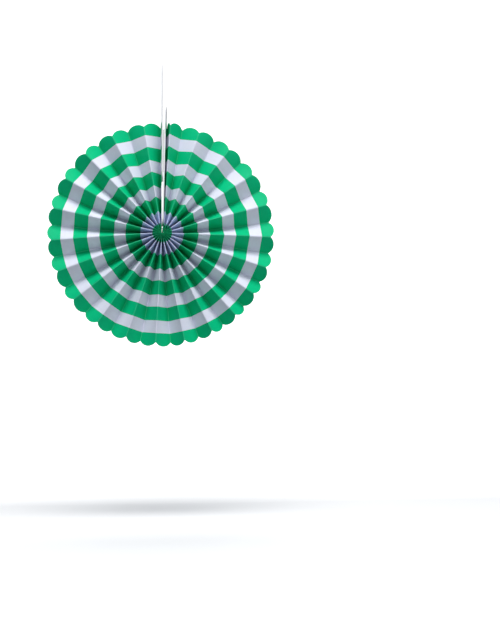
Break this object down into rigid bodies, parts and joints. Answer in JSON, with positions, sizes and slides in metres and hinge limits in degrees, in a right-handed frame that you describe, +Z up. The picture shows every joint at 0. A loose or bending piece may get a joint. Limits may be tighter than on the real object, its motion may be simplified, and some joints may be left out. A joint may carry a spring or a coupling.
{
  "type": "paper fan rosette",
  "caption": "Round paper fan rosette of radial pleats with scalloped ends and printed rings, closed by two white end cards, one drawn out above the rim with a hole to hang by.",
  "frame": {"origin": "centre of the left end card's upper hole, half way through the board", "axes": "+Z up, -Y out of the rosette's front face, +X along the hole, to the right seen from the front"},
  "size_m": [0.2491, 0.0208, 0.3172],
  "materials": {
    "printed_paper": "satin coated paper, printed in green rings on white",
    "white_card": "matt white board",
    "foam": "white foam tape",
    "thread": "white twisted thread"
  },
  "bodies": {
    "root": {"pleated_paper": "printed_paper", "left_end_card": "white_card", "right_end_card": "white_card", "foam_pad": "foam", "hub_thread": "thread"}
  },
  "joints": []
}
